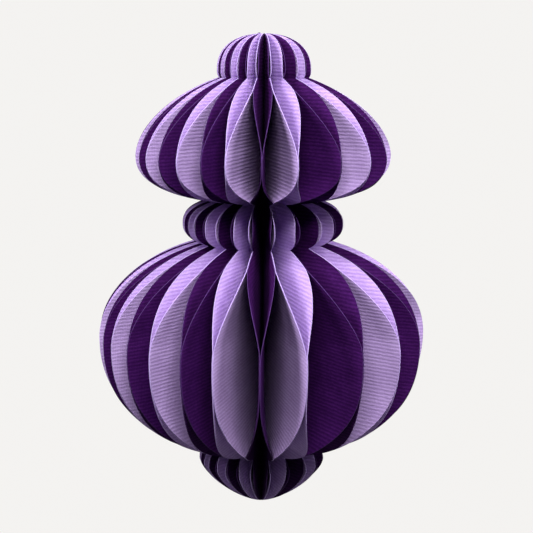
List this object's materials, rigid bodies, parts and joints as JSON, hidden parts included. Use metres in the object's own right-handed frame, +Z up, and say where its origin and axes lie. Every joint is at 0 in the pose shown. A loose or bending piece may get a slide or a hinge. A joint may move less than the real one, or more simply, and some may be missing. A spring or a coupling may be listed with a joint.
{
  "type": "paper honeycomb ornament",
  "caption": "Tiered paper honeycomb ornament: die-cut card leaves hinged round a sewn spine open from a flat stack to a full circle and are held shut by flat magnets.",
  "frame": {"origin": "the middle of the spine's top, from which the ornament hangs", "axes": "+Z up along the spine; -Y towards the viewer, +X to the viewer's right; the two end leaves meet at the back left"},
  "size_m": [0.1397, 0.1398, 0.2035],
  "materials": {
    "plum_card": "matte ribbed card, plum",
    "lilac_card": "matte ribbed card, lilac",
    "magnet": "nickel plated",
    "thread": "twisted cotton thread"
  },
  "bodies": {
    "spine": {"plum_leaf_01": "plum_card", "closure_magnet_disc_first": "magnet", "closure_magnet_ball_first": "magnet", "spine_thread": "thread", "top_knot": "thread", "bottom_knot": "thread"},
    "leaf_02": {"lilac_leaf_02": "lilac_card"},
    "leaf_03": {"lilac_leaf_03": "lilac_card"},
    "leaf_04": {"plum_leaf_04": "plum_card"},
    "leaf_05": {"plum_leaf_05": "plum_card"},
    "leaf_06": {"lilac_leaf_06": "lilac_card"},
    "leaf_07": {"lilac_leaf_07": "lilac_card"},
    "leaf_08": {"plum_leaf_08": "plum_card"},
    "leaf_09": {"plum_leaf_09": "plum_card"},
    "leaf_10": {"lilac_leaf_10": "lilac_card"},
    "leaf_11": {"lilac_leaf_11": "lilac_card"},
    "leaf_12": {"plum_leaf_12": "plum_card"},
    "leaf_13": {"plum_leaf_13": "plum_card"},
    "leaf_14": {"lilac_leaf_14": "lilac_card"},
    "leaf_15": {"lilac_leaf_15": "lilac_card"},
    "leaf_16": {"plum_leaf_16": "plum_card"},
    "leaf_17": {"plum_leaf_17": "plum_card"},
    "leaf_18": {"lilac_leaf_18": "lilac_card"},
    "leaf_19": {"lilac_leaf_19": "lilac_card"},
    "leaf_20": {"plum_leaf_20": "plum_card"},
    "leaf_21": {"plum_leaf_21": "plum_card"},
    "leaf_22": {"lilac_leaf_22": "lilac_card"},
    "leaf_23": {"lilac_leaf_23": "lilac_card"},
    "leaf_24": {"plum_leaf_24": "plum_card"},
    "leaf_25": {"plum_leaf_25": "plum_card"},
    "leaf_26": {"lilac_leaf_26": "lilac_card"},
    "leaf_27": {"lilac_leaf_27": "lilac_card"},
    "leaf_28": {"plum_leaf_28": "plum_card"},
    "leaf_29": {"plum_leaf_29": "plum_card"},
    "leaf_30": {"lilac_leaf_30": "lilac_card"},
    "leaf_31": {"lilac_leaf_31": "lilac_card"},
    "leaf_32": {"plum_leaf_32": "plum_card"},
    "leaf_33": {"plum_leaf_33": "plum_card"},
    "leaf_34": {"lilac_leaf_34": "lilac_card"},
    "leaf_35": {"lilac_leaf_35": "lilac_card"},
    "leaf_36": {"plum_leaf_36": "plum_card"},
    "leaf_37": {"plum_leaf_37": "plum_card"},
    "leaf_38": {"lilac_leaf_38": "lilac_card"},
    "leaf_39": {"lilac_leaf_39": "lilac_card"},
    "leaf_40": {"plum_leaf_40": "plum_card"},
    "leaf_41": {"plum_leaf_41": "plum_card"},
    "leaf_42": {"lilac_leaf_42": "lilac_card"},
    "leaf_43": {"lilac_leaf_43": "lilac_card"},
    "leaf_44": {"plum_leaf_44": "plum_card"},
    "leaf_45": {"plum_leaf_45": "plum_card"},
    "leaf_46": {"lilac_leaf_46": "lilac_card"},
    "leaf_47": {"lilac_leaf_47": "lilac_card"},
    "leaf_48": {"plum_leaf_48": "plum_card", "closure_magnet_disc_last": "magnet", "closure_magnet_ball_last": "magnet"}
  },
  "joints": [
    {"name": "fan_fold", "type": "hinge", "parent": "spine", "child": "leaf_02", "pos_m": [-0.00293, 0.00287, -0.1], "axis": [0, 0, 1], "range_deg": [-9.56, 0]},
    {"name": "fan_fold_02", "type": "hinge", "parent": "leaf_02", "child": "leaf_03", "pos_m": [-0.00333, 0.00239, -0.1], "axis": [0, 0, 1], "range_deg": [-6.47, 0]},
    {"name": "fan_fold_03", "type": "hinge", "parent": "leaf_03", "child": "leaf_04", "pos_m": [-0.00359, 0.00199, -0.1], "axis": [0, 0, 1], "range_deg": [-6.15, 0]},
    {"name": "fan_fold_04", "type": "hinge", "parent": "leaf_04", "child": "leaf_05", "pos_m": [-0.00378, 0.00158, -0.1], "axis": [0, 0, 1], "range_deg": [-5.84, 0]},
    {"name": "fan_fold_05", "type": "hinge", "parent": "leaf_05", "child": "leaf_06", "pos_m": [-0.00393, 0.00117, -0.1], "axis": [0, 0, 1], "range_deg": [-5.55, 0]},
    {"name": "fan_fold_06", "type": "hinge", "parent": "leaf_06", "child": "leaf_07", "pos_m": [-0.00403, 0.00077, -0.1], "axis": [0, 0, 1], "range_deg": [-5.3, 0]},
    {"name": "fan_fold_07", "type": "hinge", "parent": "leaf_07", "child": "leaf_08", "pos_m": [-0.00408, 0.00038, -0.1], "axis": [0, 0, 1], "range_deg": [-5.07, 0]},
    {"name": "fan_fold_08", "type": "hinge", "parent": "leaf_08", "child": "leaf_09", "pos_m": [-0.0041, 0, -0.1], "axis": [0, 0, 1], "range_deg": [-4.88, 0]},
    {"name": "fan_fold_09", "type": "hinge", "parent": "leaf_09", "child": "leaf_10", "pos_m": [-0.00408, -0.00037, -0.1], "axis": [0, 0, 1], "range_deg": [-4.73, 0]},
    {"name": "fan_fold_10", "type": "hinge", "parent": "leaf_10", "child": "leaf_11", "pos_m": [-0.00403, -0.00073, -0.1], "axis": [0, 0, 1], "range_deg": [-4.62, 0]},
    {"name": "fan_fold_11", "type": "hinge", "parent": "leaf_11", "child": "leaf_12", "pos_m": [-0.00396, -0.00107, -0.1], "axis": [0, 0, 1], "range_deg": [-4.55, 0]},
    {"name": "fan_fold_12", "type": "hinge", "parent": "leaf_12", "child": "leaf_13", "pos_m": [-0.00385, -0.00141, -0.1], "axis": [0, 0, 1], "range_deg": [-4.53, 0]},
    {"name": "fan_fold_13", "type": "hinge", "parent": "leaf_13", "child": "leaf_14", "pos_m": [-0.00372, -0.00173, -0.1], "axis": [0, 0, 1], "range_deg": [-4.55, 0]},
    {"name": "fan_fold_14", "type": "hinge", "parent": "leaf_14", "child": "leaf_15", "pos_m": [-0.00356, -0.00204, -0.1], "axis": [0, 0, 1], "range_deg": [-4.62, 0]},
    {"name": "fan_fold_15", "type": "hinge", "parent": "leaf_15", "child": "leaf_16", "pos_m": [-0.00336, -0.00235, -0.1], "axis": [0, 0, 1], "range_deg": [-4.73, 0]},
    {"name": "fan_fold_16", "type": "hinge", "parent": "leaf_16", "child": "leaf_17", "pos_m": [-0.00314, -0.00264, -0.1], "axis": [0, 0, 1], "range_deg": [-4.88, 0]},
    {"name": "fan_fold_17", "type": "hinge", "parent": "leaf_17", "child": "leaf_18", "pos_m": [-0.00288, -0.00292, -0.1], "axis": [0, 0, 1], "range_deg": [-5.07, 0]},
    {"name": "fan_fold_18", "type": "hinge", "parent": "leaf_18", "child": "leaf_19", "pos_m": [-0.00259, -0.00318, -0.1], "axis": [0, 0, 1], "range_deg": [-5.3, 0]},
    {"name": "fan_fold_19", "type": "hinge", "parent": "leaf_19", "child": "leaf_20", "pos_m": [-0.00225, -0.00343, -0.1], "axis": [0, 0, 1], "range_deg": [-5.55, 0]},
    {"name": "fan_fold_20", "type": "hinge", "parent": "leaf_20", "child": "leaf_21", "pos_m": [-0.00188, -0.00364, -0.1], "axis": [0, 0, 1], "range_deg": [-5.84, 0]},
    {"name": "fan_fold_21", "type": "hinge", "parent": "leaf_21", "child": "leaf_22", "pos_m": [-0.00146, -0.00383, -0.1], "axis": [0, 0, 1], "range_deg": [-6.15, 0]},
    {"name": "fan_fold_22", "type": "hinge", "parent": "leaf_22", "child": "leaf_23", "pos_m": [-0.00101, -0.00397, -0.1], "axis": [0, 0, 1], "range_deg": [-6.47, 0]},
    {"name": "fan_fold_23", "type": "hinge", "parent": "leaf_23", "child": "leaf_24", "pos_m": [-0.00052, -0.00407, -0.1], "axis": [0, 0, 1], "range_deg": [-6.81, 0]},
    {"name": "fan_fold_24", "type": "hinge", "parent": "leaf_24", "child": "leaf_25", "pos_m": [0, -0.0041, -0.1], "axis": [0, 0, 1], "range_deg": [-7.15, 0]},
    {"name": "fan_fold_25", "type": "hinge", "parent": "leaf_25", "child": "leaf_26", "pos_m": [0.00055, -0.00406, -0.1], "axis": [0, 0, 1], "range_deg": [-7.49, 0]},
    {"name": "fan_fold_26", "type": "hinge", "parent": "leaf_26", "child": "leaf_27", "pos_m": [0.00111, -0.00395, -0.1], "axis": [0, 0, 1], "range_deg": [-7.83, 0]},
    {"name": "fan_fold_27", "type": "hinge", "parent": "leaf_27", "child": "leaf_28", "pos_m": [0.00167, -0.00374, -0.1], "axis": [0, 0, 1], "range_deg": [-8.15, 0]},
    {"name": "fan_fold_28", "type": "hinge", "parent": "leaf_28", "child": "leaf_29", "pos_m": [0.00222, -0.00345, -0.1], "axis": [0, 0, 1], "range_deg": [-8.46, 0]},
    {"name": "fan_fold_29", "type": "hinge", "parent": "leaf_29", "child": "leaf_30", "pos_m": [0.00273, -0.00306, -0.1], "axis": [0, 0, 1], "range_deg": [-8.75, 0]},
    {"name": "fan_fold_30", "type": "hinge", "parent": "leaf_30", "child": "leaf_31", "pos_m": [0.00318, -0.00259, -0.1], "axis": [0, 0, 1], "range_deg": [-9.01, 0]},
    {"name": "fan_fold_31", "type": "hinge", "parent": "leaf_31", "child": "leaf_32", "pos_m": [0.00356, -0.00203, -0.1], "axis": [0, 0, 1], "range_deg": [-9.23, 0]},
    {"name": "fan_fold_32", "type": "hinge", "parent": "leaf_32", "child": "leaf_33", "pos_m": [0.00385, -0.0014, -0.1], "axis": [0, 0, 1], "range_deg": [-9.42, 0]},
    {"name": "fan_fold_33", "type": "hinge", "parent": "leaf_33", "child": "leaf_34", "pos_m": [0.00404, -0.00072, -0.1], "axis": [0, 0, 1], "range_deg": [-9.57, 0]},
    {"name": "fan_fold_34", "type": "hinge", "parent": "leaf_34", "child": "leaf_35", "pos_m": [0.0041, -0.00001, -0.1], "axis": [0, 0, 1], "range_deg": [-9.68, 0]},
    {"name": "fan_fold_35", "type": "hinge", "parent": "leaf_35", "child": "leaf_36", "pos_m": [0.00404, 0.00071, -0.1], "axis": [0, 0, 1], "range_deg": [-9.75, 0]},
    {"name": "fan_fold_36", "type": "hinge", "parent": "leaf_36", "child": "leaf_37", "pos_m": [0.00385, 0.00141, -0.1], "axis": [0, 0, 1], "range_deg": [-9.77, 0]},
    {"name": "fan_fold_37", "type": "hinge", "parent": "leaf_37", "child": "leaf_38", "pos_m": [0.00354, 0.00206, -0.1], "axis": [0, 0, 1], "range_deg": [-9.75, 0]},
    {"name": "fan_fold_38", "type": "hinge", "parent": "leaf_38", "child": "leaf_39", "pos_m": [0.00313, 0.00265, -0.1], "axis": [0, 0, 1], "range_deg": [-9.68, 0]},
    {"name": "fan_fold_39", "type": "hinge", "parent": "leaf_39", "child": "leaf_40", "pos_m": [0.00262, 0.00315, -0.1], "axis": [0, 0, 1], "range_deg": [-9.57, 0]},
    {"name": "fan_fold_40", "type": "hinge", "parent": "leaf_40", "child": "leaf_41", "pos_m": [0.00205, 0.00355, -0.1], "axis": [0, 0, 1], "range_deg": [-9.42, 0]},
    {"name": "fan_fold_41", "type": "hinge", "parent": "leaf_41", "child": "leaf_42", "pos_m": [0.00142, 0.00385, -0.1], "axis": [0, 0, 1], "range_deg": [-9.23, 0]},
    {"name": "fan_fold_42", "type": "hinge", "parent": "leaf_42", "child": "leaf_43", "pos_m": [0.00077, 0.00403, -0.1], "axis": [0, 0, 1], "range_deg": [-9.01, 0]},
    {"name": "fan_fold_43", "type": "hinge", "parent": "leaf_43", "child": "leaf_44", "pos_m": [0.00011, 0.0041, -0.1], "axis": [0, 0, 1], "range_deg": [-8.75, 0]},
    {"name": "fan_fold_44", "type": "hinge", "parent": "leaf_44", "child": "leaf_45", "pos_m": [-0.00053, 0.00407, -0.1], "axis": [0, 0, 1], "range_deg": [-8.46, 0]},
    {"name": "fan_fold_45", "type": "hinge", "parent": "leaf_45", "child": "leaf_46", "pos_m": [-0.00113, 0.00394, -0.1], "axis": [0, 0, 1], "range_deg": [-8.15, 0]},
    {"name": "fan_fold_46", "type": "hinge", "parent": "leaf_46", "child": "leaf_47", "pos_m": [-0.00169, 0.00373, -0.1], "axis": [0, 0, 1], "range_deg": [-7.83, 0]},
    {"name": "fan_fold_47", "type": "hinge", "parent": "leaf_47", "child": "leaf_48", "pos_m": [-0.00231, 0.00339, -0.1], "axis": [0, 0, 1], "range_deg": [-10.34, 0]}
  ],
  "couplings": [
    {"joint": "fan_fold_02", "follows": "fan_fold", "ratio": 0.67656},
    {"joint": "fan_fold_03", "follows": "fan_fold", "ratio": 0.64259},
    {"joint": "fan_fold_04", "follows": "fan_fold", "ratio": 0.61042},
    {"joint": "fan_fold_05", "follows": "fan_fold", "ratio": 0.58059},
    {"joint": "fan_fold_06", "follows": "fan_fold", "ratio": 0.55362},
    {"joint": "fan_fold_07", "follows": "fan_fold", "ratio": 0.52996},
    {"joint": "fan_fold_08", "follows": "fan_fold", "ratio": 0.51003},
    {"joint": "fan_fold_09", "follows": "fan_fold", "ratio": 0.49417},
    {"joint": "fan_fold_10", "follows": "fan_fold", "ratio": 0.48263},
    {"joint": "fan_fold_11", "follows": "fan_fold", "ratio": 0.47564},
    {"joint": "fan_fold_12", "follows": "fan_fold", "ratio": 0.47329},
    {"joint": "fan_fold_13", "follows": "fan_fold", "ratio": 0.47564},
    {"joint": "fan_fold_14", "follows": "fan_fold", "ratio": 0.48263},
    {"joint": "fan_fold_15", "follows": "fan_fold", "ratio": 0.49417},
    {"joint": "fan_fold_16", "follows": "fan_fold", "ratio": 0.51003},
    {"joint": "fan_fold_17", "follows": "fan_fold", "ratio": 0.52996},
    {"joint": "fan_fold_18", "follows": "fan_fold", "ratio": 0.55362},
    {"joint": "fan_fold_19", "follows": "fan_fold", "ratio": 0.58059},
    {"joint": "fan_fold_20", "follows": "fan_fold", "ratio": 0.61042},
    {"joint": "fan_fold_21", "follows": "fan_fold", "ratio": 0.64259},
    {"joint": "fan_fold_22", "follows": "fan_fold", "ratio": 0.67656},
    {"joint": "fan_fold_23", "follows": "fan_fold", "ratio": 0.71174},
    {"joint": "fan_fold_24", "follows": "fan_fold", "ratio": 0.74754},
    {"joint": "fan_fold_25", "follows": "fan_fold", "ratio": 0.78334},
    {"joint": "fan_fold_26", "follows": "fan_fold", "ratio": 0.81852},
    {"joint": "fan_fold_27", "follows": "fan_fold", "ratio": 0.85249},
    {"joint": "fan_fold_28", "follows": "fan_fold", "ratio": 0.88467},
    {"joint": "fan_fold_29", "follows": "fan_fold", "ratio": 0.91449},
    {"joint": "fan_fold_30", "follows": "fan_fold", "ratio": 0.94146},
    {"joint": "fan_fold_31", "follows": "fan_fold", "ratio": 0.96512},
    {"joint": "fan_fold_32", "follows": "fan_fold", "ratio": 0.98505},
    {"joint": "fan_fold_33", "follows": "fan_fold", "ratio": 1.0009},
    {"joint": "fan_fold_34", "follows": "fan_fold", "ratio": 1.0124},
    {"joint": "fan_fold_35", "follows": "fan_fold", "ratio": 1.0194},
    {"joint": "fan_fold_36", "follows": "fan_fold", "ratio": 1.0218},
    {"joint": "fan_fold_37", "follows": "fan_fold", "ratio": 1.0194},
    {"joint": "fan_fold_38", "follows": "fan_fold", "ratio": 1.0124},
    {"joint": "fan_fold_39", "follows": "fan_fold", "ratio": 1.0009},
    {"joint": "fan_fold_40", "follows": "fan_fold", "ratio": 0.98505},
    {"joint": "fan_fold_41", "follows": "fan_fold", "ratio": 0.96512},
    {"joint": "fan_fold_42", "follows": "fan_fold", "ratio": 0.94146},
    {"joint": "fan_fold_43", "follows": "fan_fold", "ratio": 0.91449},
    {"joint": "fan_fold_44", "follows": "fan_fold", "ratio": 0.88467},
    {"joint": "fan_fold_45", "follows": "fan_fold", "ratio": 0.85249},
    {"joint": "fan_fold_46", "follows": "fan_fold", "ratio": 0.81852},
    {"joint": "fan_fold_47", "follows": "fan_fold", "ratio": 1.0806}
  ]
}
